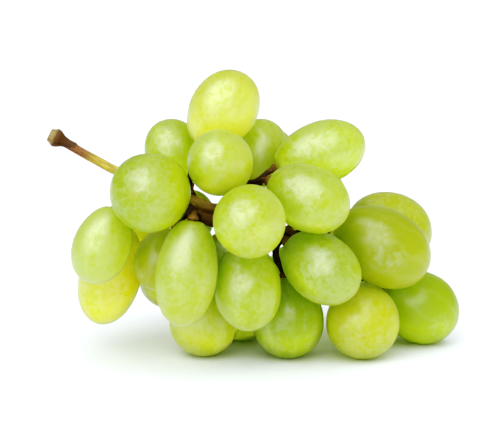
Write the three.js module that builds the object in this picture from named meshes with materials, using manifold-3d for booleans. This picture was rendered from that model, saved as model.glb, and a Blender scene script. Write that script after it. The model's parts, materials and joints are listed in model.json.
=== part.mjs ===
// A bunch of white table grapes lying on its side, with its cut stalk to the left.
// Millimetres, +Z up. The origin is on the surface, below the middle of the bunch.

import * as THREE from 'three';
import { mergeVertices } from 'three/addons/utils/BufferGeometryUtils.js';
import Module from 'manifold-3d';

const wasm = await Module();
wasm.setup();

// ---------------------------------------------------------------- dimensions

const grapeSides = 16;
const grapeRings = 9;
const eggShape = 0.06; // how much narrower a grape is towards its stalk
const dimpleDepth = 0.5; // hollow in the grape where its stalk meets it
const flatDepth = 0.25; // how far a resting grape is pressed flat
const liftOff = 1.5; // least height of a grape that doesn't rest

const clearance = 0.4; // least gap between neighbours
const stalkGap = 0.34; // gap between a stalk's cushion and its grape

const limbSides = 8;
const limbStep = 4; // length of stem between two rings of its mesh
const knobRadius = 2.75; // swollen end where the bunch was cut off

const stalkSides = 6;
const stalkRadius = 0.8;
const stalkRootRadius = 1.15;
const cushionRadius = 1.8; // the flared end that holds the grape
const cushionHeight = 1.5;

const settlePasses = 400;
const give = new THREE.Vector3(0.45, 1, 0.45); // grapes make room mostly in depth

// ---------------------------------------------------------------- colours

const skins = {
  green: new THREE.MeshStandardMaterial({ color: '#a9c437', roughness: 0.38, metalness: 0 }),
  lime: new THREE.MeshStandardMaterial({ color: '#bfd54b', roughness: 0.38, metalness: 0 }),
  yellow: new THREE.MeshStandardMaterial({ color: '#d3d548', roughness: 0.38, metalness: 0 }),
  olive: new THREE.MeshStandardMaterial({ color: '#b2b93a', roughness: 0.38, metalness: 0 }),
};
const bark = new THREE.MeshStandardMaterial({ color: '#5a4022', roughness: 0.8, metalness: 0 });

// ---------------------------------------------------------------- the grapes

// Each grape: its middle, the way its free tip points, its length and width, its skin.
// They are listed as seen from the front, first those that show, then those behind.
const grapes = [
  { at: [-8.4, -6.5, 72], tip: [0.53, -0.15, 0.83], long: 25, wide: 19.2, skin: 'yellow' }, // highest
  { at: [-22.5, 4.5, 58.5], tip: [-0.4, 0.3, 0.85], long: 21, wide: 17, skin: 'lime' }, // upper left
  { at: [-8.7, -21, 59.1], tip: [-0.05, -0.9, 0.35], long: 22, wide: 18.2, skin: 'lime' }, // upper front
  { at: [-27.7, -26, 51.7], tip: [-0.3, -0.92, 0.1], long: 25, wide: 21.7, skin: 'green' }, // big, left
  { at: [2.6, 6.5, 57.8], tip: [0.15, 0.35, 0.9], long: 21, wide: 17, skin: 'green' },
  { at: [19, -3, 59.4], tip: [0.93, 0.1, 0.3], long: 27.4, wide: 18.3, skin: 'lime' }, // upper right
  { at: [15.5, -19.5, 49], tip: [0.86, -0.4, -0.32], long: 25, wide: 18.5, skin: 'lime' },
  { at: [-0.8, -33, 45.3], tip: [0.1, -0.97, -0.15], long: 22.5, wide: 19.6, skin: 'lime' }, // front middle
  { at: [19.3, -19, 29.6], tip: [0.75, -0.42, -0.5], long: 25, wide: 19, skin: 'green' },
  { at: [37.5, -5, 32], tip: [0.87, -0.05, -0.48], long: 30.3, wide: 22.4, skin: 'olive' }, // big, right
  { at: [42, 18, 33.3], tip: [0.8, 0.4, -0.38], long: 28, wide: 23, skin: 'olive' },
  { at: [50.4, 8.5, 11], tip: [0.8, 0.1, -0.55], long: 25.5, wide: 21.6, skin: 'green', rests: true },
  { at: [32.6, -6.5, 11], tip: [-0.05, -0.98, -0.15], long: 24.5, wide: 21.5, skin: 'yellow', rests: true },
  { at: [10.5, -7, 12], tip: [0.1, -0.25, -0.95], long: 24, wide: 21, skin: 'green', rests: true },
  { at: [-1.2, -22, 24.4], tip: [0.06, -0.3, -0.95], long: 25, wide: 18.8, skin: 'lime' },
  { at: [-18, -28, 29.8], tip: [-0.12, -0.1, -0.98], long: 30.5, wide: 17, skin: 'lime' }, // long, front
  { at: [-13.8, -5, 11], tip: [-0.1, 0.3, -0.95], long: 22.5, wide: 20.4, skin: 'yellow', rests: true },
  { at: [-25.8, -11, 30], tip: [-0.4, -0.3, -0.85], long: 19, wide: 16, skin: 'olive' },
  { at: [-25, 7, 22.3], tip: [-0.1, 0.3, -0.95], long: 21, wide: 18, skin: 'olive' },
  { at: [-42, -19, 35.8], tip: [-0.37, -0.2, -0.9], long: 23, wide: 16.3, skin: 'lime' }, // far left
  { at: [-41.4, -1, 23.4], tip: [-0.27, 0, -0.96], long: 31, wide: 18.2, skin: 'yellow' }, // hangs low, left
  { at: [-38.3, 17, 33.8], tip: [-0.5, 0.6, -0.5], long: 20, wide: 17, skin: 'yellow' },
  { at: [-20.5, 10.5, 39], tip: [-0.2, 0.75, -0.6], long: 19, wide: 15.5, skin: 'olive' },
  { at: [-8, 1, 27], tip: [0.15, 0.25, -0.95], long: 16.5, wide: 15.5, skin: 'green' },
  { at: [-28.2, 20, 45.6], tip: [-0.2, 0.95, 0.2], long: 21, wide: 17, skin: 'green' }, // behind, as the rest
  { at: [-12, 18.5, 57], tip: [-0.2, 0.7, 0.65], long: 22, wide: 18, skin: 'lime' },
  { at: [4, 25, 52.6], tip: [0.2, 0.9, 0.35], long: 22, wide: 17.5, skin: 'green' },
  { at: [20.3, 14, 43], tip: [0.3, 0.95, 0], long: 23, wide: 18, skin: 'lime' },
  { at: [1, 23, 38], tip: [0.05, 1, -0.1], long: 22, wide: 18.5, skin: 'lime' },
  { at: [-3.5, 13, 10.5], tip: [-0.15, 0.35, -0.9], long: 22, wide: 19.5, skin: 'green', rests: true },
  { at: [13, 17, 20], tip: [0.15, 0.8, -0.5], long: 22, wide: 17.5, skin: 'lime' },
  { at: [34.5, 22.5, 11], tip: [0.35, 0.7, -0.6], long: 24, wide: 20, skin: 'green', rests: true },
  { at: [-10.5, 26.5, 19.5], tip: [-0.25, 0.8, -0.55], long: 22.5, wide: 18, skin: 'yellow' },
  { at: [-24, 28, 31], tip: [0.25, 0.85, -0.45], long: 22, wide: 17.5, skin: 'lime' },
  { at: [20, 32, 29], tip: [0.3, 0.9, -0.25], long: 22.5, wide: 18, skin: 'olive' },
];

// ---------------------------------------------------------------- the stem

// The woody limbs, each a route from its root to its end, and its radius along the way.
const limbs = [
  {
    // stalk and main limb
    route: [[-54, -4, 62.8], [-48, -4, 59.3], [-41, -4, 55.4], [-33, -3.5, 51.5], [-25, -3, 47],
      [-18, -3, 42.5], [-11.5, -4, 40], [0, -5, 38.3], [9.5, -5, 37], [14, -4, 33.5],
      [20, -1, 32], [25, 4, 31.5]],
    thick: [1.3, 1.35, 1.5, 2.1, 2, 1.7, 1.5, 1.4],
  },
  {
    // upper limb
    route: [[-25, -3, 47], [-17.7, -3, 45.6], [-10.7, -5, 43.6], [-5, -8, 46], [-1.2, -10, 51.4],
      [3, -10, 52]],
    thick: [2, 1.7, 1.6, 1.3, 0.9],
  },
  { route: [[-19.8, -3, 45], [-17.6, -6, 54], [-17.3, -6.5, 60.5]], thick: [1.2, 0.8] }, // to the crown
  { route: [[-7, -6.5, 45.3], [-4.5, 1, 46], [-4, 9.5, 48.5]], thick: [1.3, 1] }, // up and back
  { route: [[-19, -3, 43.5], [-16, -11, 42], [-15.5, -18, 43.5]], thick: [1.9, 1.2] }, // to the front
  { route: [[-18, -4, 42.5], [-15.5, -10, 36], [-14, -12.5, 28]], thick: [1.3, 0.9] }, // down the left
  { route: [[-27, -3, 48], [-31, 4, 43.5], [-32, 11, 39.5]], thick: [1.3, 0.9] }, // back left
  { route: [[-2, -5, 38.7], [-1, 4, 34.5], [0, 11, 29]], thick: [1.4, 0.9] }, // back middle
  { route: [[10.5, -5, 36.5], [7, -7.5, 33], [7.2, -8, 28]], thick: [1.4, 0.85] }, // down the right
  { route: [[24.5, 3.5, 31.7], [28, 7, 26], [32, 9, 20]], thick: [1.3, 0.9] }, // down at the far right
  { route: [[19.5, -1, 32.3], [20, 9, 31.5], [18, 17, 31]], thick: [1.3, 0.9] }, // back right
];

// ---------------------------------------------------------------- room for every grape

const vector = (list) => new THREE.Vector3(...list);

// The balls that fill a grape from end to end stand in for it when gaps are measured.
function ballsOfGrape(long, wide) {
  const count = 7;
  const halfLong = long / 2;
  const halfWide = wide / 2;
  const spread = halfLong ** 2 - halfWide ** 2;
  const balls = [];
  for (let i = 0; i < count; i += 1) {
    const along = ((2 * i) / (count - 1) - 1) * (spread / halfLong);
    const radius = halfWide * Math.sqrt(1 - along ** 2 / spread);
    balls.push({ along, radius: radius * (1 + (eggShape * along) / halfLong) });
  }
  return balls;
}

function limbRadius(limb, share) {
  const place = share * (limb.thick.length - 1);
  const before = Math.min(Math.floor(place), limb.thick.length - 2);
  return THREE.MathUtils.lerp(limb.thick[before], limb.thick[before + 1], place - before);
}

for (const limb of limbs) {
  limb.curve = new THREE.CatmullRomCurve3(limb.route.map(vector));
  limb.steps = Math.ceil(limb.curve.getLength() / limbStep);
}

const limbBalls = limbs.flatMap((limb) => limb.curve.getSpacedPoints(2 * limb.steps).map((centre, i) => ({
  centre,
  radius: limbRadius(limb, i / (2 * limb.steps)),
})));

// A grape's stalk springs from the nearest wood that lies behind the grape's stalk end.
function stalkRoot(grape) {
  const behind = grape.at.clone().addScaledVector(grape.tip, -grape.long / 2 - 6);
  const byDistance = (a, b) => a.centre.distanceTo(behind) - b.centre.distanceTo(behind);
  return [...limbBalls].sort(byDistance)[0].centre;
}

// The stalk's route, which meets the grape square to its end.
function stalkCurve(grape) {
  const seat = (grape.long / 2) * Math.cos(Math.PI / (grapeRings + 1)) - dimpleDepth / 2;
  const top = grape.at.clone().addScaledVector(grape.tip, -seat - stalkGap);
  const reach = top.distanceTo(grape.root);
  const leaving = grape.root.clone().lerp(top, 0.35);
  const arriving = top.clone().addScaledVector(grape.tip, -0.4 * reach);
  return new THREE.CubicBezierCurve3(grape.root, leaving, arriving, top);
}

for (const grape of grapes) {
  grape.at = vector(grape.at);
  grape.tip = vector(grape.tip).normalize();
  grape.balls = ballsOfGrape(grape.long, grape.wide);
  if (grape.rests) {
    const { z } = grape.tip;
    grape.at.z = Math.hypot((grape.long / 2) * z, (grape.wide / 2) * Math.sqrt(1 - z * z)) - flatDepth;
  }
  grape.root = stalkRoot(grape);
}

function placedBalls(grape) {
  return grape.balls.map(({ along, radius }) => ({
    centre: grape.at.clone().addScaledVector(grape.tip, along),
    radius,
  }));
}

// The shortest way between two rows of balls, and how much closer than the clearance it is.
function closest(rowA, rowB) {
  let best = { short: -Infinity };
  for (const a of rowA) {
    for (const b of rowB) {
      const short = a.radius + b.radius + clearance - a.centre.distanceTo(b.centre);
      if (short > best.short) best = { short, from: a.centre, to: b.centre };
    }
  }
  return best;
}

function nudge(grape, way, distance) {
  const step = way.clone().multiplyScalar(distance).multiply(give);
  if (grape.rests) step.z = 0;
  grape.at.add(step);
}

// Grapes press each other, and the stem presses them, until nothing touches.
function settle() {
  for (let pass = 0; pass < settlePasses; pass += 1) {
    const rows = grapes.map(placedBalls);
    const stalks = grapes.map((grape) => stalkCurve(grape).getPoints(6).slice(0, -1)
      .map((centre) => ({ centre, radius: stalkRootRadius })));
    grapes.forEach((grape, i) => {
      for (let j = i + 1; j < grapes.length; j += 1) {
        const { short, from, to } = closest(rows[i], rows[j]);
        if (short <= 0) continue;
        const way = to.clone().sub(from).normalize();
        nudge(grape, way, -short / 2);
        nudge(grapes[j], way, short / 2);
      }
      const wood = [...limbBalls, ...stalks.filter((_, j) => j !== i).flat()];
      const { short, from, to } = closest(rows[i], wood);
      if (short > 0) nudge(grape, to.clone().sub(from).normalize(), -short / 2);
      if (!grape.rests) {
        const low = Math.min(...rows[i].map(({ centre, radius }) => centre.z - radius));
        grape.at.z += Math.max(0, liftOff - low);
      }
    });
  }
}

settle();

// ---------------------------------------------------------------- shapes

const toSolid = (geometry) => {
  const bare = geometry.clone();
  bare.deleteAttribute('normal');
  bare.deleteAttribute('uv');
  const merged = mergeVertices(bare, 1e-4);
  return new wasm.Manifold(new wasm.Mesh({
    numProp: 3,
    vertProperties: new Float32Array(merged.attributes.position.array),
    triVerts: new Uint32Array(merged.index.array),
  }));
};

const toGeometry = (solid) => {
  const mesh = solid.getMesh();
  const geometry = new THREE.BufferGeometry();
  geometry.setAttribute('position', new THREE.BufferAttribute(mesh.vertProperties, 3));
  geometry.setIndex(new THREE.BufferAttribute(mesh.triVerts, 1));
  geometry.computeVertexNormals();
  return geometry;
};

// A grape along Y, its free tip up, with a shallow dimple at the stalk end.
function grapeGeometry(long, wide) {
  const outline = [];
  for (let ring = 0; ring <= grapeRings + 1; ring += 1) {
    const angle = (Math.PI * ring) / (grapeRings + 1);
    const height = -Math.cos(angle);
    const radius = Math.sin(angle) * (1 + eggShape * height);
    outline.push(new THREE.Vector2((wide / 2) * radius, (long / 2) * height));
  }
  outline[0].set(0, outline[1].y + dimpleDepth);
  outline[grapeRings + 1].x = 0;
  return new THREE.LatheGeometry(outline, grapeSides);
}

// A round bar bent along a curve. The outline lists [share of the length, radius].
function bentBar(curve, outline, sides) {
  const points = [new THREE.Vector2(0, 0)];
  for (const [share, radius] of outline) points.push(new THREE.Vector2(radius, share));
  points.push(new THREE.Vector2(0, 1));
  const geometry = new THREE.LatheGeometry(points, sides);
  const position = geometry.attributes.position;
  const steps = 120;
  const frames = curve.computeFrenetFrames(steps);
  for (let i = 0; i < position.count; i += 1) {
    const share = position.getY(i);
    const step = Math.round(share * steps);
    const point = curve.getPointAt(share)
      .addScaledVector(frames.binormals[step], position.getX(i))
      .addScaledVector(frames.normals[step], position.getZ(i));
    position.setXYZ(i, point.x, point.y, point.z);
  }
  return geometry;
}

function limbGeometry(limb) {
  const outline = [[0, limb.thick[0]]];
  for (let i = 1; i < limb.steps; i += 1) {
    outline.push([i / limb.steps, limbRadius(limb, i / limb.steps)]);
  }
  outline.push([1, limb.thick.at(-1)]);
  return bentBar(limb.curve, outline, limbSides);
}

// The swollen, trimmed end where the bunch was cut from the vine.
function knobGeometry() {
  const start = vector([-58.25, -4.6, 65.2]);
  const neck = vector([-51, -4, 61.4]);
  const outline = [[0, 1.9], [0.12, 2.1], [0.22, knobRadius], [0.34, 2.6], [0.52, 1.7], [0.7, 1.35], [1, 1.3]];
  return bentBar(new THREE.LineCurve3(start, neck), outline, 12);
}

function stalkGeometry(grape) {
  const curve = stalkCurve(grape);
  const cushion = Math.min(0.5, cushionHeight / curve.getLength());
  const outline = [
    [0, stalkRootRadius],
    [(1 - cushion) * 0.45, stalkRadius],
    [1 - cushion, stalkRadius * 1.1],
    [1 - cushion * 0.35, cushionRadius],
    [1, cushionRadius * 0.8],
  ];
  return bentBar(curve, outline, stalkSides);
}

// ---------------------------------------------------------------- the bunch

const fruit = new THREE.Group();

function addMesh(name, geometry, material) {
  const mesh = new THREE.Mesh(geometry, material);
  mesh.name = name;
  fruit.add(mesh);
  return mesh;
}

grapes.forEach((grape, i) => {
  const geometry = grapeGeometry(grape.long, grape.wide);
  const turn = new THREE.Quaternion().setFromUnitVectors(new THREE.Vector3(0, 1, 0), grape.tip);
  const name = `grape_${String(i + 1).padStart(2, '0')}`;
  if (grape.rests) {
    geometry.applyQuaternion(turn);
    geometry.computeBoundingBox();
    grape.at.z = -geometry.boundingBox.min.z - flatDepth;
    const rested = toSolid(geometry).translate(grape.at.toArray()).trimByPlane([0, 0, 1], 0);
    addMesh(name, toGeometry(rested), skins[grape.skin]);
  } else {
    const mesh = addMesh(name, geometry, skins[grape.skin]);
    mesh.position.copy(grape.at);
    mesh.quaternion.copy(turn);
  }
});

const wood = [knobGeometry(), ...limbs.map(limbGeometry), ...grapes.map(stalkGeometry)];
const stem = wood.map(toSolid).reduce((joined, piece) => joined.add(piece));
addMesh('stem', toGeometry(stem), bark);

// The origin goes below the middle of the whole bunch.
const middle = new THREE.Box3().setFromObject(fruit, true).getCenter(new THREE.Vector3());
fruit.position.set(-middle.x, -middle.y, 0);
const bunch = new THREE.Group();
bunch.add(fruit);

export default bunch;
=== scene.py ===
import json
import math
import random
from functools import partial

import bmesh
import bpy
from mathutils import Matrix, Vector


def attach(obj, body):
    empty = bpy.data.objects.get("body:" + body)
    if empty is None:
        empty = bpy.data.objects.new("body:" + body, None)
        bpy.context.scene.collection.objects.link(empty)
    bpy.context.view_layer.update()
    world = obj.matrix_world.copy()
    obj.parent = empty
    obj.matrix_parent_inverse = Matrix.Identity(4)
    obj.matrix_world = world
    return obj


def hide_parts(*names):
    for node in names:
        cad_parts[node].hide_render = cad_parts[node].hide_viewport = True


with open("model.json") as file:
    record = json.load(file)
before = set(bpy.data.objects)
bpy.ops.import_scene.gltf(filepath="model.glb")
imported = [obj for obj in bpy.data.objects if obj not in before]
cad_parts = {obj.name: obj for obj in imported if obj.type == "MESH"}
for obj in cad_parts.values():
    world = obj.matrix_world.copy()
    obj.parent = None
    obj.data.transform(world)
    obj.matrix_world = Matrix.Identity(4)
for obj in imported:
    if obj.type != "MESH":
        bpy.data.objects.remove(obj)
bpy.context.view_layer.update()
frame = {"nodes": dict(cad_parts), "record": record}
mm = 0.001


# small helpers

def toLinear(hexColour):
    # sRGB hex to the linear colour that the nodes want
    parts = [int(hexColour[i:i + 2], 16) / 255 for i in (1, 3, 5)]
    return tuple(c / 12.92 if c <= 0.04045 else ((c + 0.055) / 1.055) ** 2.4 for c in parts) + (1,)


def socketOf(sockets, key):
    # finds a socket by its place, its identifier or its name
    if isinstance(key, int):
        return sockets[key]
    named = [socket for socket in sockets if socket.identifier == key]
    return named[0] if named else sockets[key]


def addNode(tree, kind, settings=None, inputs=None, out=0):
    # adds one node, sets it up, links what is a socket, and returns the output that is wanted
    node = tree.nodes.new(kind)
    for key, value in (settings or {}).items():
        if key == "stops":
            while len(node.color_ramp.elements) < len(value):
                node.color_ramp.elements.new(0.5)
            for element, (place, colour) in zip(node.color_ramp.elements, value):
                element.position = place
                element.color = toLinear(colour)
        else:
            setattr(node, key, value)
    for key, value in (inputs or {}).items():
        for one in value if isinstance(value, list) else [value]:
            if isinstance(one, bpy.types.NodeSocket):
                tree.links.new(one, socketOf(node.inputs, key))
            else:
                socketOf(node.inputs, key).default_value = one
    return socketOf(node.outputs, out) if len(node.outputs) else node


def newTree(name, sockets):
    # a Geometry Nodes tree with a geometry in and out, and the named inputs
    tree = bpy.data.node_groups.new(name, "GeometryNodeTree")
    tree.interface.new_socket("Geometry", in_out="INPUT", socket_type="NodeSocketGeometry")
    tree.interface.new_socket("Geometry", in_out="OUTPUT", socket_type="NodeSocketGeometry")
    for label, kind in sockets.items():
        tree.interface.new_socket(label, in_out="INPUT", socket_type="NodeSocket" + kind)
    return tree, tree.nodes.new("NodeGroupInput").outputs


def runTree(piece, tree, values):
    # a modifier's inputs go by the socket's identifier, and the result becomes the piece's own mesh
    modifier = piece.modifiers.new(tree.name, "NODES")
    modifier.node_group = tree
    for item in tree.interface.items_tree:
        if item.in_out == "INPUT" and item.name in values:
            modifier[item.identifier] = values[item.name]
    return makeReal(piece)


def makeReal(piece):
    # turns what the modifiers make into the piece's own mesh
    bpy.context.view_layer.update()
    graph = bpy.context.evaluated_depsgraph_get()
    mesh = bpy.data.meshes.new_from_object(
        piece.evaluated_get(graph), preserve_all_data_layers=True, depsgraph=graph)
    piece.modifiers.clear()
    piece.data = mesh
    mesh.name = piece.name
    return piece


def newPiece(name, points=(), edges=(), faces=()):
    mesh = bpy.data.meshes.new(name)
    mesh.from_pydata(points, edges, faces)
    piece = bpy.data.objects.new(name, mesh)
    bpy.context.scene.collection.objects.link(piece)
    return piece


def newMaterial(name):
    material = bpy.data.materials.new(name)
    material.use_nodes = True
    material.node_tree.nodes.clear()
    return material, partial(addNode, material.node_tree)


# grape skin: a thin satin skin over clear wet flesh, under a dusting of pale wax

skinLook = {
    "green": {"unripe": "#8ea90c", "main": "#a4bd14", "ripe": "#b6c418", "amber": "#c4c218"},
    "lime": {"unripe": "#9db716", "main": "#aec622", "ripe": "#bcc924", "amber": "#c6c722"},
    "yellow": {"unripe": "#b2c11c", "main": "#c4cf24", "ripe": "#d5d220", "amber": "#e0cd1c"},
    "olive": {"unripe": "#97a813", "main": "#a9b518", "ripe": "#b7ba1b", "amber": "#c2b619"},
}
skinFinish = {
    "cloud": 0.11, "cloudShare": 0.36,      # clouds of ripeness per mm, and how much they count for
    "wax": "#dcebbd",
    "waxCover": 0.09,           # its share of the colour where it is thickest
    "waxPatch": 0.09,           # patches per mm, so they are about 11 mm across
    "waxLace": 0.55,            # holes per mm in a patch
    "laceEdge": (0.8, 1.1),     # from where the wax is worn off to where it is whole
    "waxDust": 1.1,             # speckles per mm, coarser than real ones so that they show
    "dustLeast": 0.55,          # how much wax is left between the speckles
    "vein": "#dfe88c", "veinCover": 0.06,
    "veins": 9.0,               # round a grape
    "veinBends": 0.2, "veinSway": 5.0,      # bends per mm, and how far a vein strays
    "pore": "#a0963a", "poreCover": 0.6,
    "poreGap": 2.6, "poreSize": (0.035, 0.085),     # mm, and the heart and the rim as shares of it
    "stalkEnd": "#c2a02e", "stalkRing": (1.6, 3.6), "stalkShare": 0.75,     # mm, where the tint fades out
    "tipEnd": "#cdb53a", "tipSpot": (0.3, 2.0), "tipShare": 0.25,
    "roughBare": 0.3, "roughWaxed": 0.38,
    "hazeBare": 0.16, "hazeWaxed": 1.0,     # how much of the matt coat there is
    "grain": 1.6, "grainDepth": 0.2, "poreDepth": 0.1,      # fine bumps per mm, and depths in mm
    "flesh": {"IOR": 1.37, "Specular IOR Level": 0.28, "Transmission Weight": 0.46, "Subsurface Weight": 1.0,
              "Subsurface Radius": (1.0, 1.05, 0.22), "Subsurface Scale": 0.02},
    "coat": {"Coat Roughness": 0.44, "Coat IOR": 1.78},
}


def grapeSkin(name, look):
    # the wet flesh scatters light and lets it through, most in yellow-green;
    # the wax is matt and pale, and where it is rubbed off the skin has a soft shine
    material, add = newMaterial(name)
    point = add("ShaderNodeAttribute", {"attribute_name": "berryPoint"}, out="Vector")
    ripeness = add("ShaderNodeAttribute", {"attribute_name": "ripeness"}, out="Fac")
    ends = add("ShaderNodeAttribute", {"attribute_name": "berryEnds"}, out="Vector")
    angle, fromStalk, fromTip = add("ShaderNodeSeparateXYZ", {}, {0: ends}).node.outputs

    cloud = add("ShaderNodeTexNoise", {}, {"Vector": point, "Scale": skinFinish["cloud"], "Detail": 2.0})
    # ripeness, which also carries the painted glow of one side, picks the colour from unripe to amber
    ripe = add("ShaderNodeMath", {"operation": "MULTIPLY_ADD"}, {
        0: cloud, 1: skinFinish["cloudShare"], 2: ripeness})
    stops = [(0.12, look["unripe"]), (0.5, look["main"]), (0.85, look["ripe"]), (1.0, look["amber"])]
    colour = add("ShaderNodeValToRGB", {"stops": stops}, {"Fac": ripe})

    # pale veins run from end to end under the skin
    wander = add("ShaderNodeTexNoise", {}, {"Vector": point, "Scale": skinFinish["veinBends"], "Detail": 1.0})
    wander = add("ShaderNodeMath", {"operation": "MULTIPLY"}, {0: wander, 1: skinFinish["veinSway"]})
    vein = add("ShaderNodeMath", {"operation": "MULTIPLY_ADD"}, {0: angle, 1: skinFinish["veins"], 2: wander})
    vein = add("ShaderNodeMath", {"operation": "SINE"}, {0: vein})
    vein = add("ShaderNodeMapRange", {"interpolation_type": "SMOOTHSTEP"},
               {"Value": vein, "From Min": 0.5, "To Max": skinFinish["veinCover"]})
    colour = add("ShaderNodeMix", {"data_type": "RGBA"}, {
        "Factor_Float": vein, "A_Color": colour, "B_Color": toLinear(skinFinish["vein"])}, "Result_Color")

    # the wax lies in patches, worn to a lace by rubbing, and dusty
    bloom = add("ShaderNodeAttribute", {"attribute_name": "bloom"}, out="Fac")
    patch = add("ShaderNodeTexNoise", {}, {"Vector": point, "Scale": skinFinish["waxPatch"], "Detail": 2.0})
    patch = add("ShaderNodeMath", {"operation": "ADD"}, {0: patch, 1: bloom})
    lace = add("ShaderNodeTexNoise", {}, {"Vector": point, "Scale": skinFinish["waxLace"], "Detail": 5.0,
                                          "Roughness": 0.6, "Distortion": 0.6})
    lace = add("ShaderNodeMath", {"operation": "MULTIPLY_ADD"}, {0: patch, 1: 0.9, 2: lace})
    worn, whole = skinFinish["laceEdge"]
    lace = add("ShaderNodeMapRange", {"interpolation_type": "SMOOTHSTEP"},
               {"Value": lace, "From Min": worn, "From Max": whole})
    dust = add("ShaderNodeTexNoise", {}, {"Vector": point, "Scale": skinFinish["waxDust"], "Detail": 3.0,
                                          "Roughness": 0.7})
    dust = add("ShaderNodeMapRange", {"interpolation_type": "SMOOTHSTEP"},
               {"Value": dust, "From Min": 0.3, "From Max": 0.7, "To Min": skinFinish["dustLeast"]})
    wax = add("ShaderNodeMath", {"operation": "MULTIPLY", "use_clamp": True}, {0: lace, 1: dust})
    cover = add("ShaderNodeMath", {"operation": "MULTIPLY"}, {0: wax, 1: skinFinish["waxCover"]})
    colour = add("ShaderNodeMix", {"data_type": "RGBA"}, {
        "Factor_Float": cover, "A_Color": colour, "B_Color": toLinear(skinFinish["wax"])}, "Result_Color")

    # pores, sparse and faint
    pore = add("ShaderNodeTexVoronoi", {}, {"Vector": point, "Scale": 1 / skinFinish["poreGap"]})
    heart, rim = skinFinish["poreSize"]
    pore = add("ShaderNodeMapRange", {"interpolation_type": "SMOOTHSTEP"},
               {"Value": pore, "From Min": heart, "From Max": rim, "To Min": 1.0, "To Max": 0.0})
    sparse = add("ShaderNodeTexNoise", {}, {"Vector": point, "Scale": 0.3})
    sparse = add("ShaderNodeMapRange", {"interpolation_type": "SMOOTHSTEP"},
                 {"Value": sparse, "From Min": 0.45, "From Max": 0.6, "To Max": skinFinish["poreCover"]})
    pore = add("ShaderNodeMath", {"operation": "MULTIPLY"}, {0: pore, 1: sparse})
    colour = add("ShaderNodeMix", {"data_type": "RGBA"}, {
        "Factor_Float": pore, "A_Color": colour, "B_Color": toLinear(skinFinish["pore"])}, "Result_Color")

    # a warm ring where the stalk was grown on, and a warm spot round the tip's scar
    for distance, span, share, tint in ((fromStalk, "stalkRing", "stalkShare", "stalkEnd"),
                                        (fromTip, "tipSpot", "tipShare", "tipEnd")):
        near, far = skinFinish[span]
        warm = add("ShaderNodeMapRange", {"interpolation_type": "SMOOTHSTEP"}, {
            "Value": distance, "From Min": near, "From Max": far, "To Min": skinFinish[share], "To Max": 0.0})
        colour = add("ShaderNodeMix", {"data_type": "RGBA"}, {
            "Factor_Float": warm, "A_Color": colour, "B_Color": toLinear(skinFinish[tint])}, "Result_Color")

    rough = add("ShaderNodeMapRange", {}, {"Value": wax, "To Min": skinFinish["roughBare"],
                                           "To Max": skinFinish["roughWaxed"]})
    haze = add("ShaderNodeMapRange", {}, {"Value": wax, "To Min": skinFinish["hazeBare"],
                                          "To Max": skinFinish["hazeWaxed"]})
    grain = add("ShaderNodeTexNoise", {}, {"Vector": point, "Scale": skinFinish["grain"], "Detail": 3.0})
    bump = add("ShaderNodeBump", {}, {
        "Strength": 0.1, "Distance": skinFinish["grainDepth"] * mm, "Height": grain})
    bump = add("ShaderNodeBump", {"invert": True}, {
        "Strength": 0.25, "Distance": skinFinish["poreDepth"] * mm, "Height": pore, "Normal": bump})
    surface = add("ShaderNodeBsdfPrincipled", {}, {
        "Base Color": colour, "Roughness": rough, "Coat Weight": haze, "Normal": bump,
        **skinFinish["flesh"], **skinFinish["coat"]})
    add("ShaderNodeOutputMaterial", {}, {"Surface": surface})
    return material


def dryScar():
    # the dried remains of the flower at a grape's tip: dull and corky
    material, add = newMaterial("dryScar")
    point = add("ShaderNodeTexCoord", {}, out="Object")
    speck = add("ShaderNodeTexNoise", {}, {"Vector": point, "Scale": 2500.0})
    colour = add("ShaderNodeValToRGB", {"stops": [(0.3, "#7d6f2e"), (0.7, "#a59a4a")]}, {"Fac": speck})
    surface = add("ShaderNodeBsdfPrincipled", {}, {"Base Color": colour, "Roughness": 0.8})
    add("ShaderNodeOutputMaterial", {}, {"Surface": surface})
    return material


barkLook = {
    # along the stem: cut wood, its brown rim, dark, reddish and yellow stretches, then the dark inner limbs
    "tints": [(0.0, "#857240"), (0.1, "#806b3a"), (0.16, "#513516"), (0.3, "#523418"), (0.45, "#8a5a2c"),
              (0.6, "#c2a63c"), (0.74, "#c9bf4a"), (0.86, "#7c5a20"), (1.0, "#2a190a")],
    "dark": "#2a1a0b",
    "streak": 1.6,              # which gives about ten streaks round a limb
    "streakCover": 0.45,        # how dark a streak is at most
    "uneven": 0.1,              # how far the tint wanders along the scale above
    "streakDepth": 0.3,         # mm
}


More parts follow.
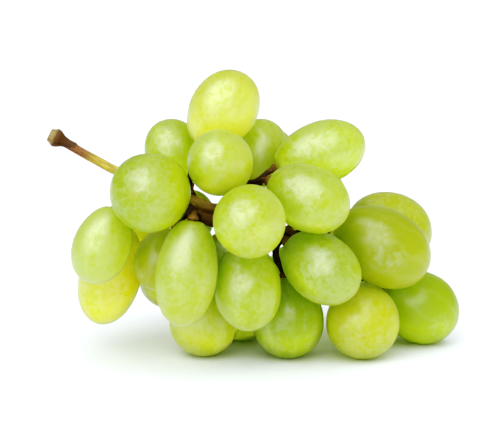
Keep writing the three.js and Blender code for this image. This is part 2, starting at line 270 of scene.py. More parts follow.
def vineBark():
    # young vine wood: dry, matt, streaked along its length, and dark where it is old
    material, add = newMaterial("vineBark")
    grain = add("ShaderNodeAttribute", {"attribute_name": "grain"}, out="Vector")
    tint = add("ShaderNodeAttribute", {"attribute_name": "tint"}, out="Fac")
    fine = add("ShaderNodeTexNoise", {}, {"Vector": grain, "Scale": barkLook["streak"], "Detail": 4.0,
                                          "Roughness": 0.65})
    tint = add("ShaderNodeMath", {"operation": "MULTIPLY_ADD"}, {0: fine, 1: barkLook["uneven"], 2: tint})
    tint = add("ShaderNodeMath", {"operation": "SUBTRACT"}, {0: tint, 1: barkLook["uneven"] / 2})
    colour = add("ShaderNodeValToRGB", {"stops": barkLook["tints"]}, {"Fac": tint})
    streak = add("ShaderNodeMapRange", {"interpolation_type": "SMOOTHSTEP"},
                 {"Value": fine, "From Min": 0.38, "From Max": 0.58,
                  "To Min": barkLook["streakCover"], "To Max": 0.0})
    colour = add("ShaderNodeMix", {"data_type": "RGBA"}, {
        "Factor_Float": streak, "A_Color": colour, "B_Color": toLinear(barkLook["dark"])}, "Result_Color")
    bump = add("ShaderNodeBump", {}, {
        "Strength": 0.5, "Distance": barkLook["streakDepth"] * mm, "Height": fine})
    surface = add("ShaderNodeBsdfPrincipled", {}, {
        "Base Color": colour, "Roughness": 0.72, "Specular IOR Level": 0.28, "Normal": bump})
    add("ShaderNodeOutputMaterial", {}, {"Surface": surface})
    return material


def corkyWart():
    # pale corky warts, through which the bark breathes
    material, add = newMaterial("corkyWart")
    point = add("ShaderNodeTexCoord", {}, out="Object")
    speck = add("ShaderNodeTexNoise", {}, {"Vector": point, "Scale": 1800.0})
    colour = add("ShaderNodeValToRGB", {"stops": [(0.3, "#6f5636"), (0.7, "#9c855a")]}, {"Fac": speck})
    surface = add("ShaderNodeBsdfPrincipled", {}, {"Base Color": colour, "Roughness": 0.85})
    add("ShaderNodeOutputMaterial", {}, {"Surface": surface})
    return material


skins = {key: grapeSkin("grapeSkin." + key, look) for key, look in skinLook.items()}
scarMaterial = dryScar()
barkMaterial = vineBark()
wartMaterial = corkyWart()
print("materials are ready")

# the grapes

grapeForm = {
    "ringStep": math.pi / 10,   # between the rings of the plain solid
    "egg": 0.06,                # how much narrower a grape is towards its stalk
    "hollowDepth": 0.5,         # mm, below the plain solid's last ring
    "hollowSpread": 2.2,        # mm
    "lumps": 0.033, "lumpScale": 1.3,       # unevenness, as a share of the width, and how often it comes
    "flats": 0.006, "flatSides": 3.0,       # faint flats, as a share of the width, and how many there are
    "scarSize": 0.16, "scarHeight": 0.38,   # mm, and the height as a share of that
    "softFloor": 0.25,          # mm over which a resting grape bends to its flat spot
    "segments": 84, "rings": 58,
    "ripeWay": (0.5, -0.2, -0.8),   # the side that most of them ripen on, also made lighter as painted glow, where light through the flesh would leave it
    "ripeTurn": 0.6,            # how far that side turns from grape to grape
    "ripeness": (0.1, 0.34), "ripeContrast": 0.26,      # in the middle, and from there to the ripe side that also carries painted glow
    "wax": 0.08,                # more or less than the usual, at most
    "seed": 11,
}

# how ripe a grape is, and the way its ripe side faces, where it isn't drawn at random; that side is lighter
# and yellower, partly real ripening and partly painted glow of light passing through the grape
ripeAndGlowSide = {
    1: (0.3, (0.1, -0.3, -1)), 3: (0.4, (0.6, -0.4, -0.8)), 4: (0.22, (1, -0.4, -0.5)),
    5: (0.5, (0.2, -0.6, -0.6)), 7: (0.25, (0.4, -0.3, -1)), 10: (0.14, (-0.1, -0.3, -1)),
    11: (0.02, (0.3, 0, 1)), 12: (-0.12, (0.6, -0.4, -0.6)), 13: (0.16, (-0.3, -0.5, 0.3)),
    14: (0.0, (0.3, 0, -1)), 15: (0.24, (0.3, 0, -1)), 17: (-0.04, (-0.6, -0.5, -0.6)),
    20: (0.34, (1, -0.3, -0.4)), 21: (0.46, (0.9, -0.5, -0.3)),
}
# grapes with more wax than most, or with less
waxy = {
    1: 0.12, 2: -0.06, 3: 0.03, 4: -0.09, 5: 0.13, 6: 0.06, 7: 0.09, 8: 0.02, 9: 0.0, 10: -0.2,
    11: -0.14, 12: -0.19, 13: -0.06, 14: -0.04, 15: 0.04, 16: 0.04, 17: 0.0, 18: -0.12, 20: 0.1, 21: 0.12,
}


def readGrape(node):
    # works out a grape's middle, tip direction and half sizes from the two rings round its hollow
    mesh = bmesh.new()
    mesh.from_mesh(node.data)
    bmesh.ops.remove_doubles(mesh, verts=mesh.verts, dist=1e-6)
    mesh.verts.index_update()

    def inOrder(points):
        # a set has no fixed order, and each run has to add up in the same one
        return sorted(points, key=lambda p: p.index)

    def middleOf(points):
        return sum((p.co for p in inOrder(points)), Vector()) / len(points)

    def beside(point):
        return {edge.other_vert(point) for edge in point.link_edges}

    heart = middleOf(mesh.verts)
    hollow = max(mesh.verts, key=lambda p: (middleOf(beside(p)) - heart).length - (p.co - heart).length)
    first = beside(hollow)
    second = set().union(*(beside(p) for p in first)) - first - {hollow}
    firstMiddle = middleOf(first)
    tip = (hollow.co - firstMiddle).normalized()
    step = grapeForm["ringStep"]
    halfLong = (middleOf(second) - firstMiddle).dot(tip) / (math.cos(step) - math.cos(2 * step))
    ring = sum((p.co - firstMiddle).length for p in inOrder(first)) / len(first)
    halfWide = ring / (math.sin(step) * (1 - grapeForm["egg"] * math.cos(step)))
    middle = firstMiddle + tip * halfLong * math.cos(step)
    mesh.free()
    return {"middle": middle, "tip": tip, "halfLong": halfLong / mm, "halfWide": halfWide / mm}


def grapeTree():
    # lays a ball's points on the grape's outline, sinks the hollow, adds the tip's scar,
    # then turns the grape into its place and presses it flat where it rests
    tree, given = newTree("grape", {
        "Half Length": "Float", "Half Width": "Float", "Egg": "Float", "Hollow Depth": "Float",
        "Hollow Spread": "Float", "Lumps": "Float", "Flats": "Float", "Seed": "Float", "Turn": "Rotation",
        "Place": "Vector", "Bloom": "Float", "Ripeness": "Float", "Ripe Side": "Vector",
        "Ripe Contrast": "Float", "Scar Size": "Float", "Soft Floor": "Float",
        "Segments": "Int", "Rings": "Int", "Skin": "Material", "Scar": "Material"})
    add = partial(addNode, tree)
    ball = add("GeometryNodeMeshUVSphere", {}, {
        "Segments": given["Segments"], "Rings": given["Rings"], "Radius": 1.0}, "Mesh")
    point = add("GeometryNodeInputPosition")
    x, y, z = add("ShaderNodeSeparateXYZ", {}, {0: point}).node.outputs
    angle = add("ShaderNodeMath", {"operation": "ARCTAN2"}, {0: y, 1: x})
    level = add("ShaderNodeVectorMath", {"operation": "MULTIPLY"}, {0: point, 1: (1, 1, 0)})
    outward = add("ShaderNodeVectorMath", {"operation": "LENGTH"}, {0: level}, "Value")

    # uneven swelling
    offset = add("ShaderNodeCombineXYZ", {}, {0: given["Seed"], 1: given["Seed"], 2: 3.7})
    shifted = add("ShaderNodeVectorMath", {"operation": "ADD"}, {0: point, 1: offset})
    lump = add("ShaderNodeTexNoise", {}, {"Vector": shifted, "Scale": grapeForm["lumpScale"], "Detail": 1.0})
    lump = add("ShaderNodeMath", {"operation": "SUBTRACT"}, {0: lump, 1: 0.5})
    lump = add("ShaderNodeMath", {"operation": "MULTIPLY_ADD"}, {0: lump, 1: given["Lumps"], 2: 1.0})
    flats = add("ShaderNodeMath", {"operation": "MULTIPLY_ADD"}, {
        0: angle, 1: grapeForm["flatSides"], 2: given["Seed"]})
    flats = add("ShaderNodeMath", {"operation": "COSINE"}, {0: flats})
    swell = add("ShaderNodeMath", {"operation": "MULTIPLY_ADD"}, {0: flats, 1: given["Flats"], 2: lump})

    # the outline
    narrow = add("ShaderNodeMath", {"operation": "MULTIPLY_ADD"}, {0: z, 1: given["Egg"], 2: 1.0})
    across = add("ShaderNodeMath", {"operation": "MULTIPLY"}, {0: given["Half Width"], 1: narrow})
    across = add("ShaderNodeMath", {"operation": "MULTIPLY"}, {0: across, 1: swell})
    spread = add("ShaderNodeMath", {"operation": "MULTIPLY"}, {0: outward, 1: across})
    spread = add("ShaderNodeMath", {"operation": "DIVIDE"}, {0: spread, 1: given["Hollow Spread"]})
    spread = add("ShaderNodeMath", {"operation": "POWER"}, {0: spread, 1: 2.0})
    bell = add("ShaderNodeMath", {"operation": "MULTIPLY"}, {0: spread, 1: -1.0})
    bell = add("ShaderNodeMath", {"operation": "EXPONENT"}, {0: bell})
    below = add("ShaderNodeMath", {"operation": "LESS_THAN"}, {0: z, 1: 0.0})
    bell = add("ShaderNodeMath", {"operation": "MULTIPLY"}, {0: bell, 1: below})
    sink = add("ShaderNodeMath", {"operation": "MULTIPLY"}, {0: bell, 1: given["Hollow Depth"]})
    size = add("ShaderNodeCombineXYZ", {}, {0: across, 1: across, 2: given["Half Length"]})
    sunk = add("ShaderNodeCombineXYZ", {}, {2: sink})
    laid = add("ShaderNodeVectorMath", {"operation": "MULTIPLY_ADD"}, {0: point, 1: size, 2: sunk})
    grape = add("GeometryNodeSetPosition", {}, {"Geometry": ball, "Position": laid})

    # what the skin's pattern follows: the point on the grape, moved by its seed so that no two are alike,
    # the angle round it, and how far its two ends are
    here = add("GeometryNodeInputPosition")
    patternOffset = add("ShaderNodeVectorMath", {"operation": "SCALE"}, {0: offset, "Scale": 23.0})
    pattern = add("ShaderNodeVectorMath", {"operation": "ADD"}, {0: here, 1: patternOffset})
    grape = add("GeometryNodeStoreNamedAttribute", {"data_type": "FLOAT_VECTOR", "domain": "POINT"},
                {"Geometry": grape, "Name": "berryPoint", "Value": pattern})
    ends = {}
    for side, way in (("stalk", -1.0), ("tip", 1.0)):
        end = add("ShaderNodeCombineXYZ", {}, {2: given["Half Length"]})
        end = add("ShaderNodeVectorMath", {"operation": "SCALE"}, {0: end, "Scale": way})
        ends[side] = add("ShaderNodeVectorMath", {"operation": "DISTANCE"}, {0: here, 1: end}, "Value")
    hx, hy = add("ShaderNodeSeparateXYZ", {}, {0: here}).node.outputs[:2]
    turn = add("ShaderNodeMath", {"operation": "ARCTAN2"}, {0: hy, 1: hx})
    ends = add("ShaderNodeCombineXYZ", {}, {0: turn, 1: ends["stalk"], 2: ends["tip"]})
    grape = add("GeometryNodeStoreNamedAttribute", {"data_type": "FLOAT_VECTOR", "domain": "POINT"},
                {"Geometry": grape, "Name": "berryEnds", "Value": ends})
    grape = add("GeometryNodeStoreNamedAttribute", {"data_type": "FLOAT", "domain": "POINT"},
                {"Geometry": grape, "Name": "bloom", "Value": given["Bloom"]})
    grape = add("GeometryNodeSetMaterial", {}, {"Geometry": grape, "Material": given["Skin"]})

    # the scar at the tip, a flat ragged button
    button = add("GeometryNodeMeshIcoSphere", {}, {"Radius": 1.0, "Subdivisions": 3}, "Mesh")
    ragged = add("ShaderNodeTexNoise", {}, {"Vector": shifted, "Scale": 2.5})
    ragged = add("ShaderNodeMath", {"operation": "ADD"}, {0: ragged, 1: 0.5})
    ragged = add("ShaderNodeMath", {"operation": "MULTIPLY"}, {0: ragged, 1: given["Scar Size"]})
    flat = add("ShaderNodeVectorMath", {"operation": "MULTIPLY"}, {
        0: point, 1: (1, 1, grapeForm["scarHeight"])})
    flat = add("ShaderNodeVectorMath", {"operation": "SCALE"}, {0: flat, "Scale": ragged})
    button = add("GeometryNodeSetPosition", {}, {"Geometry": button, "Position": flat})
    top = add("ShaderNodeCombineXYZ", {}, {2: given["Half Length"]})
    button = add("GeometryNodeTransform", {}, {"Geometry": button, "Translation": top})
    button = add("GeometryNodeSetMaterial", {}, {"Geometry": button, "Material": given["Scar"]})
    joined = add("GeometryNodeJoinGeometry", {}, {0: [button, grape]})

    # into place, in metres
    placed = add("GeometryNodeTransform", {}, {
        "Geometry": joined, "Translation": given["Place"], "Rotation": given["Turn"], "Scale": (mm, mm, mm)})
    way = add("ShaderNodeVectorMath", {"operation": "SUBTRACT"}, {0: here, 1: given["Place"]})
    way = add("ShaderNodeVectorMath", {"operation": "NORMALIZE"}, {0: way})
    # painted glow: the side facing this way is made riper, so lighter and yellower, standing in for light
    # that leaves the translucent flesh there; the rest is real ripening
    ripeWay = add("ShaderNodeVectorMath", {"operation": "NORMALIZE"}, {0: given["Ripe Side"]})
    facing = add("ShaderNodeVectorMath", {"operation": "DOT_PRODUCT"}, {0: way, 1: ripeWay}, "Value")
    ripeness = add("ShaderNodeMath", {"operation": "MULTIPLY_ADD"}, {
        0: facing, 1: given["Ripe Contrast"], 2: given["Ripeness"]})
    placed = add("GeometryNodeStoreNamedAttribute", {"data_type": "FLOAT", "domain": "POINT"},
                 {"Geometry": placed, "Name": "ripeness", "Value": ripeness})
    px, py, pz = add("ShaderNodeSeparateXYZ", {}, {0: here}).node.outputs
    soft = add("ShaderNodeMath", {"operation": "MULTIPLY"}, {0: given["Soft Floor"], 1: mm})
    raised = add("ShaderNodeMath", {"operation": "SMOOTH_MAX"}, {0: pz, 1: 0.0, 2: soft})
    pressed = add("ShaderNodeCombineXYZ", {}, {0: px, 1: py, 2: raised})
    pressed = add("GeometryNodeSetPosition", {}, {"Geometry": placed, "Position": pressed})
    smooth = add("GeometryNodeSetShadeSmooth", {}, {"Geometry": pressed})
    real = add("GeometryNodeRealizeInstances", {}, {"Geometry": smooth})
    add("NodeGroupOutput", {}, {"Geometry": real})
    return tree


def makeGrapes():
    # one skin over each plain grape, with a ripeness, a ripe side that also carries painted glow, and a
    # dusting of wax of its own
    tree = grapeTree()
    draw = random.Random(grapeForm["seed"])
    slots = {entry["node"]: entry["material_slot"] for entry in frame["record"]["subparts"]}
    grapes = []
    for name in sorted(n for n in frame["nodes"] if n.startswith("grape_")):
        facts = readGrape(frame["nodes"][name])
        grapes.append(facts)
        number = int(name[-2:])
        turn = grapeForm["ripeTurn"]
        anySide = [way + draw.uniform(-turn, turn) for way in grapeForm["ripeWay"]]
        ripeness, way = ripeAndGlowSide.get(number, (draw.uniform(*grapeForm["ripeness"]), anySide))
        bloom = waxy.get(number, draw.uniform(-grapeForm["wax"], grapeForm["wax"]))
        spin = Matrix.Rotation(draw.uniform(0, 2 * math.pi), 3, "Z")
        # the hollow starts where the plain solid's last ring is
        lastRing = facts["halfLong"] * (1 - math.cos(grapeForm["ringStep"]))
        piece = newPiece("berry_" + name[-2:])
        runTree(piece, tree, {
            "Half Length": facts["halfLong"], "Half Width": facts["halfWide"], "Egg": grapeForm["egg"],
            "Hollow Depth": lastRing + grapeForm["hollowDepth"], "Hollow Spread": grapeForm["hollowSpread"],
            "Lumps": grapeForm["lumps"], "Flats": grapeForm["flats"], "Seed": draw.uniform(0, 40),
            "Turn": (facts["tip"].to_track_quat("Z", "Y").to_matrix() @ spin).to_euler(),
            "Place": facts["middle"], "Bloom": bloom, "Ripeness": ripeness, "Ripe Side": way,
            "Ripe Contrast": grapeForm["ripeContrast"], "Scar Size": grapeForm["scarSize"],
            "Soft Floor": grapeForm["softFloor"], "Segments": grapeForm["segments"],
            "Rings": grapeForm["rings"], "Skin": skins[slots[name].replace("skin_", "")],
            "Scar": scarMaterial})
        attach(piece, "root")
        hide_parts(name)
    return grapes


grapes = makeGrapes()
print("grapes:", len(grapes))

# the stem: the limbs' routes in mm as in the plain solids, with their radii and tints along the way

stemForm = {
    "shift": (-1.83, 0.495, 0),    # from the routes' origin to the bunch's
    "knob": {"route": [(-58.25, -4.6, 65.2), (-51, -4, 61.4)],
             "outline": [(0, 1.9), (0.12, 2.1), (0.22, 2.75), (0.34, 2.6), (0.52, 1.7), (0.7, 1.35),
                         (1, 1.3)],
             "tints": [(0, 0.0), (0.12, 0.04), (0.2, 0.13), (0.3, 0.17), (0.5, 0.24), (1, 0.34)],
             "steps": 24},
    "limbs": [
        {"route": [(-54, -4, 62.8), (-48, -4, 59.3), (-41, -4, 55.4), (-33, -3.5, 51.5), (-25, -3, 47),
                   (-18, -3, 42.5), (-11.5, -4, 40), (0, -5, 38.3), (9.5, -5, 37), (14, -4, 33.5),
                   (20, -1, 32), (25, 4, 31.5)],
         "thick": [1.3, 1.35, 1.5, 2.1, 2, 1.7, 1.5, 1.4],
         "tints": [(0, 0.3), (0.06, 0.42), (0.12, 0.6), (0.22, 0.76), (0.36, 0.8), (0.48, 0.87),
                   (0.7, 0.92), (1, 0.96)]},
        {"route": [(-25, -3, 47), (-17.7, -3, 45.6), (-10.7, -5, 43.6), (-5, -8, 46), (-1.2, -10, 51.4),
                   (3, -10, 52)],
         "thick": [2, 1.7, 1.6, 1.3, 0.9], "tints": [(0, 0.8), (0.5, 0.86), (1, 0.96)]},
        {"route": [(-19.8, -3, 45), (-17.6, -6, 54), (-17.3, -6.5, 60.5)], "thick": [1.2, 0.8]},
        {"route": [(-7, -6.5, 45.3), (-4.5, 1, 46), (-4, 9.5, 48.5)], "thick": [1.3, 1]},
        {"route": [(-19, -3, 43.5), (-16, -11, 42), (-15.5, -18, 43.5)], "thick": [1.9, 1.2]},
        {"route": [(-18, -4, 42.5), (-15.5, -10, 36), (-14, -12.5, 28)], "thick": [1.3, 0.9]},
        {"route": [(-27, -3, 48), (-31, 4, 43.5), (-32, 11, 39.5)], "thick": [1.3, 0.9]},
        {"route": [(-2, -5, 38.7), (-1, 4, 34.5), (0, 11, 29)], "thick": [1.4, 0.9]},
        {"route": [(10.5, -5, 36.5), (7, -7.5, 33), (7.2, -8, 28)], "thick": [1.4, 0.85]},
        {"route": [(24.5, 3.5, 31.7), (28, 7, 26), (32, 9, 20)], "thick": [1.3, 0.9]},
        {"route": [(19.5, -1, 32.3), (20, 9, 31.5), (18, 17, 31)], "thick": [1.3, 0.9]},
    ],
    "limbTints": [(0, 0.98), (1, 0.98)],
    "step": 0.6,                # mm between points along a limb
    "stalkRadius": 0.8, "stalkRoot": 1.15, "cushionRadius": 1.8, "cushionHeight": 1.5,
    "stalkGap": 0.34,           # mm between a stalk's cushion and its grape
    "stalkReach": 6,            # mm behind a grape, where its stalk looks for wood
    "stalkStep": 0.4,           # mm between points along a stalk
    "stalkTints": [(0, 0.98), (0.6, 0.97), (1, 0.85)],
    "sides": 20,
    "voxel": 0.28,              # mm, the size of the mesh's faces
    "soften": 3,                # rounds of smoothing where limbs meet
    "ridge": 0.16,              # mm, how deep the bark's furrows are
    "ridges": 1.5,              # which gives about nine furrows round a limb
    "run": 0.12,                # the bark's pattern per mm along a limb, where it is drawn out long
    "knots": 0.42, "knotShare": 0.8,        # per mm, and their height as a share of the furrows'
    "warts": 0.05, "wartSize": 0.16,        # per square mm, mm
    "wartHeight": 0.55, "wartGrowth": (0.45, 1.1),      # as shares of that size
    "seed": 5,
}


def alongList(pairs, share):
    # the value at a share of the way, from a list of (share, value) pairs
    for (beforeShare, before), (afterShare, after) in zip(pairs, pairs[1:]):
        if share <= afterShare:
            span = max(1e-9, afterShare - beforeShare)
            return before + (after - before) * max(0, share - beforeShare) / span
    return pairs[-1][1]


def smoothRoute(route):
    # points every step along a smooth line through the route's points
    route = [Vector(point) for point in route]
    padded = [2 * route[0] - route[1]] + route + [2 * route[-1] - route[-2]]
    points = []
    for a, b, c, d in zip(padded, padded[1:], padded[2:], padded[3:]):
        count = max(2, round((c - b).length / stemForm["step"]))
        for i in range(count):
            t = i / count
            points.append(0.5 * (2 * b + (c - a) * t + (2 * a - 5 * b + 4 * c - d) * t ** 2
                                 + (3 * b - a - 3 * c + d) * t ** 3))
    return points + [route[-1]]


def stemLines():
    # every limb and stalk as [(point, radius, tint), ...]
    shift = Vector(stemForm["shift"])
    lines = []
    for limb in stemForm["limbs"]:
        points = smoothRoute(limb["route"])
        last = len(limb["thick"]) - 1
        thick = [(i / last, radius) for i, radius in enumerate(limb["thick"])]
        tints = limb.get("tints", stemForm["limbTints"])
        shares = [i / (len(points) - 1) for i in range(len(points))]
        lines.append([(point + shift, alongList(thick, share), alongList(tints, share))
                      for point, share in zip(points, shares)])
    wood = [point for line in lines for point, radius, tint in line[::3]]    # every third point will do

    knob = stemForm["knob"]
    start, end = (Vector(point) + shift for point in knob["route"])
    shares = [i / knob["steps"] for i in range(knob["steps"] + 1)]
    lines.append([(start.lerp(end, share), alongList(knob["outline"], share), alongList(knob["tints"], share))
                  for share in shares])

    for grape in grapes:
        middle, tip = grape["middle"] / mm, grape["tip"]
        behind = middle - tip * (grape["halfLong"] + stemForm["stalkReach"])
        root = min(wood, key=lambda point: (point - behind).length)
        seat = grape["halfLong"] * math.cos(grapeForm["ringStep"]) - grapeForm["hollowDepth"] / 2
        top = middle - tip * (seat + stemForm["stalkGap"])
        reach = (top - root).length
        handles = [root, root.lerp(top, 0.35), top - tip * 0.4 * reach, top]
        # thick at its root, thin along its length, and wide at the cushion under the grape
        cushion = min(0.5, stemForm["cushionHeight"] / reach)
        thin, wide = stemForm["stalkRadius"], stemForm["cushionRadius"]
        outline = [(0, stemForm["stalkRoot"]), ((1 - cushion) * 0.45, thin), (1 - cushion, thin * 1.1),
                   (1 - cushion * 0.35, wide), (1, wide * 0.8)]
        count = max(12, round(reach / stemForm["stalkStep"]))
        line = []
        for i in range(count + 1):
            t = i / count
            weights = ((1 - t) ** 3, 3 * t * (1 - t) ** 2, 3 * t ** 2 * (1 - t), t ** 3)
            point = sum((handle * weight for handle, weight in zip(handles, weights)), Vector())
            line.append((point, alongList(outline, t), alongList(stemForm["stalkTints"], t)))
        lines.append(line)
    return lines


def tubeTree():
    # skins every line with a round tube, and notes on it where round and along the limb each point is
    tree, given = newTree("tubes", {"Sides": "Int", "Run": "Float"})
    add = partial(addNode, tree)
    lines = add("GeometryNodeMeshToCurve", {}, {0: given["Geometry"]})
    length = add("GeometryNodeSplineParameter", {}, out="Length")
    lines = add("GeometryNodeStoreNamedAttribute", {"data_type": "FLOAT", "domain": "POINT"},
                {"Geometry": lines, "Name": "along", "Value": length})
    thick = add("GeometryNodeInputNamedAttribute", {"data_type": "FLOAT"}, {"Name": "thick"})
    ring = add("GeometryNodeCurvePrimitiveCircle", {}, {"Resolution": given["Sides"], "Radius": 1.0}, "Curve")
    around = add("GeometryNodeSplineParameter", {}, out="Factor")
    ring = add("GeometryNodeStoreNamedAttribute", {"data_type": "FLOAT", "domain": "POINT"},
               {"Geometry": ring, "Name": "around", "Value": around})
    tube = add("GeometryNodeCurveToMesh", {}, {
        "Curve": lines, "Profile Curve": ring, "Scale": thick, "Fill Caps": True})
    around = add("GeometryNodeInputNamedAttribute", {"data_type": "FLOAT"}, {"Name": "around"})
    along = add("GeometryNodeInputNamedAttribute", {"data_type": "FLOAT"}, {"Name": "along"})
    angle = add("ShaderNodeMath", {"operation": "MULTIPLY"}, {0: around, 1: 2 * math.pi})
    cosine = add("ShaderNodeMath", {"operation": "COSINE"}, {0: angle})
    sine = add("ShaderNodeMath", {"operation": "SINE"}, {0: angle})
    slow = add("ShaderNodeMath", {"operation": "MULTIPLY"}, {0: along, 1: given["Run"]})
    grain = add("ShaderNodeCombineXYZ", {}, {0: cosine, 1: sine, 2: slow})
    tube = add("GeometryNodeStoreNamedAttribute", {"data_type": "FLOAT_VECTOR", "domain": "POINT"},
               {"Geometry": tube, "Name": "grain", "Value": grain})
    add("NodeGroupOutput", {}, {"Geometry": tube})
    return tree


def barkTree():
    # brings the notes back to the fused stem, cuts the furrows and sows the warts
    tree, given = newTree("bark", {
        "Tubes": "Object", "Ridge": "Float", "Ridges": "Float", "Knots": "Float", "Knot Share": "Float",
        "Warts": "Float", "Wart Size": "Float", "Seed": "Int", "Bark": "Material", "Wart": "Material"})
    add = partial(addNode, tree)
    tubes = add("GeometryNodeObjectInfo", {}, {"Object": given["Tubes"]}, "Geometry")
    stem = given["Geometry"]
    for name, kind in (("grain", "FLOAT_VECTOR"), ("tint", "FLOAT"), ("thick", "FLOAT")):
        note = add("GeometryNodeInputNamedAttribute", {"data_type": kind}, {"Name": name})
        value = add("GeometryNodeSampleNearestSurface", {"data_type": kind}, {"Mesh": tubes, "Value": note})
        stem = add("GeometryNodeStoreNamedAttribute", {"data_type": kind, "domain": "POINT"},
                   {"Geometry": stem, "Name": name, "Value": value})
    grain = add("GeometryNodeInputNamedAttribute", {"data_type": "FLOAT_VECTOR"}, {"Name": "grain"})
    thick = add("GeometryNodeInputNamedAttribute", {"data_type": "FLOAT"}, {"Name": "thick"})
    furrow = add("ShaderNodeTexNoise", {}, {"Vector": grain, "Scale": given["Ridges"], "Detail": 2.0})
    furrow = add("ShaderNodeMath", {"operation": "SUBTRACT"}, {0: furrow, 1: 0.5})
    here = add("GeometryNodeInputPosition")
    knot = add("ShaderNodeTexNoise", {}, {"Vector": here, "Scale": given["Knots"], "Detail": 2.0})
    knot = add("ShaderNodeMath", {"operation": "SUBTRACT"}, {0: knot, 1: 0.5})
    relief = add("ShaderNodeMath", {"operation": "MULTIPLY_ADD"}, {
        0: knot, 1: given["Knot Share"], 2: furrow})
    depth = add("ShaderNodeMath", {"operation": "MULTIPLY"}, {0: thick, 1: given["Ridge"]})
    relief = add("ShaderNodeMath", {"operation": "MULTIPLY"}, {0: relief, 1: depth})
    outward = add("GeometryNodeInputNormal")
    shift = add("ShaderNodeVectorMath", {"operation": "SCALE"}, {0: outward, "Scale": relief})
    stem = add("GeometryNodeSetPosition", {}, {"Geometry": stem, "Offset": shift})
    stem = add("GeometryNodeSetMaterial", {}, {"Geometry": stem, "Material": given["Bark"]})

    spots = add("GeometryNodeDistributePointsOnFaces", {}, {
        "Mesh": stem, "Density": given["Warts"], "Seed": given["Seed"]})
    wart = add("GeometryNodeMeshIcoSphere", {}, {"Radius": given["Wart Size"], "Subdivisions": 2}, "Mesh")
    wart = add("GeometryNodeTransform", {}, {"Geometry": wart, "Scale": (1, 1, stemForm["wartHeight"])})
    wart = add("GeometryNodeSetMaterial", {}, {"Geometry": wart, "Material": given["Wart"]})
    least, most = stemForm["wartGrowth"]
    growth = add("FunctionNodeRandomValue", {"data_type": "FLOAT"}, {
        "Min_001": least, "Max_001": most, "Seed": given["Seed"]}, "Value_001")
    warts = add("GeometryNodeInstanceOnPoints", {}, {
        "Points": spots, "Instance": wart, "Rotation": spots.node.outputs["Rotation"], "Scale": growth})
    joined = add("GeometryNodeJoinGeometry", {}, {0: [warts, stem]})
    smooth = add("GeometryNodeSetShadeSmooth", {}, {"Geometry": joined})
    real = add("GeometryNodeRealizeInstances", {}, {"Geometry": smooth})
    add("NodeGroupOutput", {}, {"Geometry": real})
    return tree


def makeStem():
    # tubes along the lines are fused into one piece of wood, which then gets its bark
    lines = stemLines()
    points, edges, radii, tints = [], [], [], []
    for line in lines:
        first = len(points)
        for point, radius, tint in line:
            points.append(point * mm)
            radii.append(radius * mm)
            tints.append(tint)
        edges += [(first + i, first + i + 1) for i in range(len(line) - 1)]
    tubes = newPiece("tubes", points, edges)
    for name, values in (("thick", radii), ("tint", tints)):
        tubes.data.attributes.new(name, "FLOAT", "POINT").data.foreach_set("value", values)
    runTree(tubes, tubeTree(), {"Sides": stemForm["sides"], "Run": stemForm["run"] / mm})

    piece = bpy.data.objects.new("stemWood", tubes.data.copy())
    bpy.context.scene.collection.objects.link(piece)
    fuse = piece.modifiers.new("fuse", "REMESH")
    fuse.mode = "VOXEL"
    fuse.voxel_size = stemForm["voxel"] * mm
    soften = piece.modifiers.new("soften", "SMOOTH")
    soften.iterations = stemForm["soften"]
    makeReal(piece)
    runTree(piece, barkTree(), {
        "Tubes": tubes, "Ridge": stemForm["ridge"], "Ridges": stemForm["ridges"],
        "Knots": stemForm["knots"] / mm, "Knot Share": stemForm["knotShare"],
        "Warts": stemForm["warts"] / mm ** 2, "Wart Size": stemForm["wartSize"] * mm,
        "Seed": stemForm["seed"], "Bark": barkMaterial, "Wart": wartMaterial})
    bpy.data.objects.remove(tubes)
    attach(piece, "root")
    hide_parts("stem")
    return piece


stem = makeStem()
print("stem faces:", len(stem.data.polygons))

# the room: a pale floor, with painted shade close under the grapes, and white all round,
# a soft key and a big softbox high on the front left, and a low fill on the right

room = {
    "floorSize": 12.0,          # m
    "floor": (1.0, 1.04, 1.14),
    # painted shade: the darker, greener floor colour close under the grapes, how far the enclosure is looked
    # for, and the openness over which it fades to the floor's own colour
    "contact": (0.6, 0.66, 0.42), "contactReach": 16, "contactSpan": (0.2, 0.55),   # reach in mm
    # the white walls' strength in front and behind, as gloss sees them, through the skins, and as shown
    "skyFront": 1.62, "skyRear": 0.98, "skyGloss": 0.42, "skyThrough": 3.1, "backdrop": 3.0,
    "bright": (0.2, -0.95, 0.1),
    "lamps": {
        "key": {"strength": 1.0, "angle": 45, "from": (-0.45, -0.62, 0.62), "colour": (1, 1, 1),
                "lights": "visible_diffuse"},
        "fill": {"strength": 1.0, "angle": 70, "from": (0.92, -0.36, 0.1), "colour": (1, 1, 1),
                 "lights": "visible_diffuse"},
        "softbox": {"strength": 8.4, "angle": 80, "from": (-0.36, -0.64, 0.68), "colour": (1, 0.98, 0.86),
                    "lights": "visible_glossy"},
    },
}


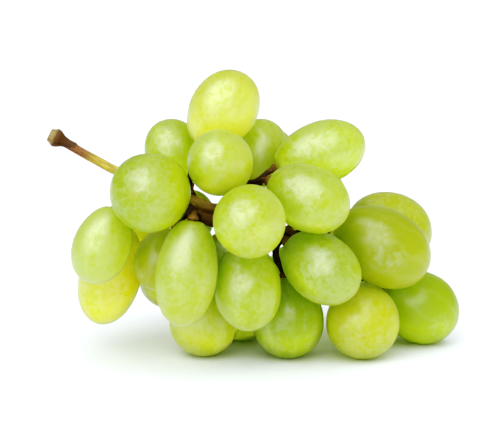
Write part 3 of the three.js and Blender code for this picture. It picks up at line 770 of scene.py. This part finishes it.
def makeRoom():
    half = room["floorSize"] / 2
    floor = newPiece("floor", [(-half, -half, 0), (half, -half, 0), (half, half, 0), (-half, half, 0)],
                     [], [(0, 1, 2, 3)])
    material, add = newMaterial("paleFloor")
    # painted shadow: close under the grapes the floor's colour is mixed towards a darker, greener one by how
    # enclosed each spot is, a painted contact shade
    space = add("ShaderNodeAmbientOcclusion", {"samples": 12}, {"Distance": room["contactReach"] * mm}, "AO")
    closed, clear = room["contactSpan"]
    space = add("ShaderNodeMapRange", {}, {"Value": space, "From Min": closed, "From Max": clear})
    near, away = room["contact"] + (1,), room["floor"] + (1,)
    colour = add("ShaderNodeMix", {"data_type": "RGBA"}, {
        "Factor_Float": space, "A_Color": near, "B_Color": away}, "Result_Color")
    surface = add("ShaderNodeBsdfDiffuse", {}, {"Color": colour})
    add("ShaderNodeOutputMaterial", {}, {"Surface": surface})
    floor.data.materials.append(material)
    world = bpy.data.worlds.new("whiteRoom")
    world.use_nodes = True
    world.node_tree.nodes.clear()
    add = partial(addNode, world.node_tree)
    path = add("ShaderNodeLightPath").node.outputs
    way = add("ShaderNodeTexCoord", {}, out="Generated")
    facing = add("ShaderNodeVectorMath", {"operation": "DOT_PRODUCT"}, {0: way, 1: room["bright"]}, "Value")
    sky = add("ShaderNodeMapRange", {"interpolation_type": "SMOOTHSTEP"}, {
        "Value": facing, "From Min": -1.0, "From Max": 1.0,
        "To Min": room["skyRear"], "To Max": room["skyFront"]})
    strength = add("ShaderNodeMapRange", {}, {"Value": path["Is Glossy Ray"], "To Min": sky,
                                              "To Max": room["skyGloss"]})
    strength = add("ShaderNodeMapRange", {}, {"Value": path["Is Transmission Ray"], "To Min": strength,
                                              "To Max": room["skyThrough"]})
    strength = add("ShaderNodeMapRange", {}, {"Value": path["Is Camera Ray"], "To Min": strength,
                                              "To Max": room["backdrop"]})
    light = add("ShaderNodeBackground", {}, {"Color": (1, 1, 1, 1), "Strength": strength})
    add("ShaderNodeOutputWorld", {}, {"Surface": light})
    bpy.context.scene.world = world
    for name, facts in room["lamps"].items():
        lamp = bpy.data.lights.new(name, "SUN")
        lamp.energy = facts["strength"]
        lamp.angle = math.radians(facts["angle"])
        lamp.color = facts["colour"]
        stand = bpy.data.objects.new(name, lamp)
        for kind in ("visible_diffuse", "visible_glossy", "visible_transmission"):
            setattr(stand, kind, kind == facts["lights"])
        stand.rotation_euler = Vector(facts["from"]).to_track_quat("Z", "Y").to_euler()
        bpy.context.scene.collection.objects.link(stand)


def makeCamera():
    view = {"target": (-1.831, 0.495, 41), "away": 411, "elevation": 10, "lens": 100}    # mm, degrees
    lens = bpy.data.cameras.new("camera")
    lens.lens = view["lens"]
    lens.sensor_width = 36
    lens.clip_start = 0.01
    camera = bpy.data.objects.new("camera", lens)
    tilt = math.radians(view["elevation"])
    back = Vector((0, -math.cos(tilt), math.sin(tilt)))
    camera.location = (Vector(view["target"]) + back * view["away"]) * mm
    camera.rotation_euler = back.to_track_quat("Z", "Y").to_euler()
    bpy.context.scene.collection.objects.link(camera)
    bpy.context.scene.camera = camera


def setTone():
    # a soft shoulder, so that pale highlights keep their tint and the floor goes white
    white = 1.25
    response = [(0.03, 0.008), (0.1, 0.084), (0.3, 0.334), (0.6, 0.592), (0.8, 0.725), (1.0, 0.845)]
    view = bpy.context.scene.view_settings
    view.view_transform = "Standard"
    view.use_curve_mapping = True
    view.curve_mapping.white_level = (white, white, white)
    allColours = view.curve_mapping.curves[3]
    for light, shown in response:
        allColours.points.new(light / white, shown)
    view.curve_mapping.update()


makeRoom()
makeCamera()
setTone()
print("room and camera are ready")
